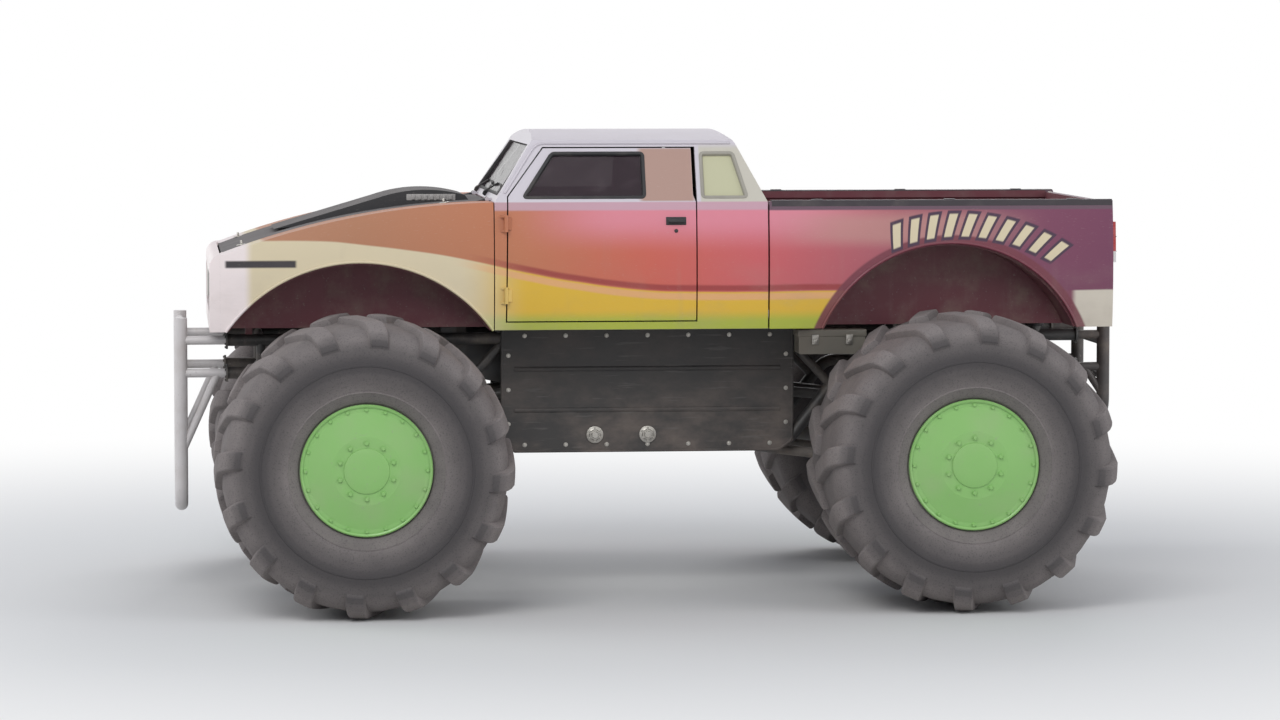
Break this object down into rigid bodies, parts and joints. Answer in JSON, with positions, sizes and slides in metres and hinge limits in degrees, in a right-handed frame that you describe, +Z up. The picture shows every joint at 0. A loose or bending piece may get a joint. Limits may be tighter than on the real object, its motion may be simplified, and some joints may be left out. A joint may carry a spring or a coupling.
{
  "type": "monster truck",
  "caption": "Show truck with an extended-cab pickup body on a raised tube frame, giant terra tyres and steering axles at both ends.",
  "frame": {"origin": "on the ground below the middle of the truck, midway between the axles", "axes": "+X forward, +Y to the truck's left, +Z up"},
  "size_m": [5.5, 3.632, 2.6895],
  "materials": {
    "axle_steel": "satin",
    "bed_metal": "satin",
    "body_paint": "gloss",
    "bright_steel": "satin",
    "cast_block": "matte",
    "frame_paint": "satin",
    "glass": "gloss",
    "grey_metal": "satin",
    "grille_plastic": "gloss",
    "guard_dark": "satin",
    "guard_white": "gloss",
    "lamp_glass": "gloss",
    "link_steel": "satin",
    "seat_fabric": "matte",
    "shock_steel": "satin",
    "skirt_black": "matte",
    "tail_lamp_lens": "gloss",
    "trim_plastic": "matte",
    "tyre_rubber": "matte",
    "wheel_green": "satin"
  },
  "bodies": {
    "chassis": {"axle_front": "axle_steel", "axle_rear": "axle_steel", "bed_floor": "bed_metal", "bed_sides": "body_paint", "cab": "body_paint", "cab_glass": "glass", "core_support": "bed_metal", "crossmembers": "frame_paint", "dashboard": "trim_plastic", "driveshafts": "link_steel", "engine": "cast_block", "equipment_box": "grey_metal", "frame_left": "frame_paint", "frame_right": "frame_paint", "front_fenders": "body_paint", "front_guard": "guard_white", "front_wheelhouses": "bed_metal", "gearbox": "cast_block", "grille": "grille_plastic", "headlamps": "lamp_glass", "nose_panel": "body_paint", "ram_cylinder_front": "grey_metal", "ram_cylinder_rear": "grey_metal", "rear_guard": "guard_dark", "roll_bar": "frame_paint", "seats": "seat_fabric", "shocks": "shock_steel", "side_skirts": "skirt_black", "steering_wheel": "trim_plastic", "suspension_links": "link_steel", "tail_lamps": "tail_lamp_lens", "transfer_case": "cast_block"},
    "hood": {"hood": "body_paint"},
    "tailgate": {"tailgate": "body_paint"},
    "door_left": {"door_left": "body_paint", "door_glass_left": "glass"},
    "door_right": {"door_right": "body_paint", "door_glass_right": "glass"},
    "knuckle_front_left": {"knuckle_front_left": "axle_steel"},
    "wheel_front_left": {"tyre_front_left": "tyre_rubber", "wheel_front_left": "wheel_green"},
    "knuckle_front_right": {"knuckle_front_right": "axle_steel"},
    "wheel_front_right": {"tyre_front_right": "tyre_rubber", "wheel_front_right": "wheel_green"},
    "tie_rod_front": {"tie_rod_front": "bright_steel"},
    "ram_rod_front": {"ram_rod_front": "bright_steel"},
    "knuckle_rear_left": {"knuckle_rear_left": "axle_steel"},
    "wheel_rear_left": {"tyre_rear_left": "tyre_rubber", "wheel_rear_left": "wheel_green"},
    "knuckle_rear_right": {"knuckle_rear_right": "axle_steel"},
    "wheel_rear_right": {"tyre_rear_right": "tyre_rubber", "wheel_rear_right": "wheel_green"},
    "tie_rod_rear": {"tie_rod_rear": "bright_steel"},
    "ram_rod_rear": {"ram_rod_rear": "bright_steel"}
  },
  "joints": [
    {"name": "hood_hinge", "type": "hinge", "parent": "chassis", "child": "hood", "pos_m": [0.95, 0, 2.298], "axis": [0, -1, 0], "range_deg": [0, 50]},
    {"name": "tailgate_hinge", "type": "hinge", "parent": "chassis", "child": "tailgate", "pos_m": [-2.636, 0, 1.744], "axis": [0, -1, 0], "range_deg": [0, 90]},
    {"name": "door_left_hinge", "type": "hinge", "parent": "chassis", "child": "door_left", "pos_m": [0.866, 0.962, 2], "axis": [0, 0, -1], "range_deg": [0, 65]},
    {"name": "door_right_hinge", "type": "hinge", "parent": "chassis", "child": "door_right", "pos_m": [0.866, -0.962, 2], "axis": [0, 0, 1], "range_deg": [0, 65]},
    {"name": "steer_front_left", "type": "hinge", "parent": "chassis", "child": "knuckle_front_left", "pos_m": [1.7, 0.86, 0.838], "axis": [0, 0, 1], "range_deg": [-25, 25]},
    {"name": "spin_front_left", "type": "hinge", "parent": "knuckle_front_left", "child": "wheel_front_left", "pos_m": [1.7, 1.27, 0.838], "axis": [0, 1, 0], "continuous": true},
    {"name": "steer_front_right", "type": "hinge", "parent": "chassis", "child": "knuckle_front_right", "pos_m": [1.7, -0.86, 0.838], "axis": [0, 0, 1], "range_deg": [-25, 25]},
    {"name": "spin_front_right", "type": "hinge", "parent": "knuckle_front_right", "child": "wheel_front_right", "pos_m": [1.7, -1.27, 0.838], "axis": [0, 1, 0], "continuous": true},
    {"name": "tie_rod_pivot_front", "type": "hinge", "parent": "knuckle_front_left", "child": "tie_rod_front", "pos_m": [1.95, 0.86, 0.886], "axis": [0, 0, 1], "range_deg": [-25, 25]},
    {"name": "ram_slide_front", "type": "slide", "parent": "chassis", "child": "ram_rod_front", "axis": [0, 1, 0], "range_m": [-0.1062, 0.1062]},
    {"name": "steer_rear_left", "type": "hinge", "parent": "chassis", "child": "knuckle_rear_left", "pos_m": [-1.7, 0.86, 0.838], "axis": [0, 0, 1], "range_deg": [-15, 15]},
    {"name": "spin_rear_left", "type": "hinge", "parent": "knuckle_rear_left", "child": "wheel_rear_left", "pos_m": [-1.7, 1.27, 0.838], "axis": [0, 1, 0], "continuous": true},
    {"name": "steer_rear_right", "type": "hinge", "parent": "chassis", "child": "knuckle_rear_right", "pos_m": [-1.7, -0.86, 0.838], "axis": [0, 0, 1], "range_deg": [-15, 15]},
    {"name": "spin_rear_right", "type": "hinge", "parent": "knuckle_rear_right", "child": "wheel_rear_right", "pos_m": [-1.7, -1.27, 0.838], "axis": [0, 1, 0], "continuous": true},
    {"name": "tie_rod_pivot_rear", "type": "hinge", "parent": "knuckle_rear_left", "child": "tie_rod_rear", "pos_m": [-1.95, 0.86, 0.886], "axis": [0, 0, 1], "range_deg": [-15, 15]},
    {"name": "ram_slide_rear", "type": "slide", "parent": "chassis", "child": "ram_rod_rear", "axis": [0, 1, 0], "range_m": [-0.0652, 0.0652]}
  ],
  "couplings": [
    {"joint": "steer_front_right", "follows": "steer_front_left", "ratio": 1},
    {"joint": "tie_rod_pivot_front", "follows": "steer_front_left", "ratio": -1},
    {"joint": "ram_slide_front", "follows": "steer_front_left", "m_per_rad": 0.24214},
    {"joint": "steer_rear_right", "follows": "steer_rear_left", "ratio": 1},
    {"joint": "tie_rod_pivot_rear", "follows": "steer_rear_left", "ratio": -1},
    {"joint": "ram_slide_rear", "follows": "steer_rear_left", "m_per_rad": -0.24715}
  ]
}
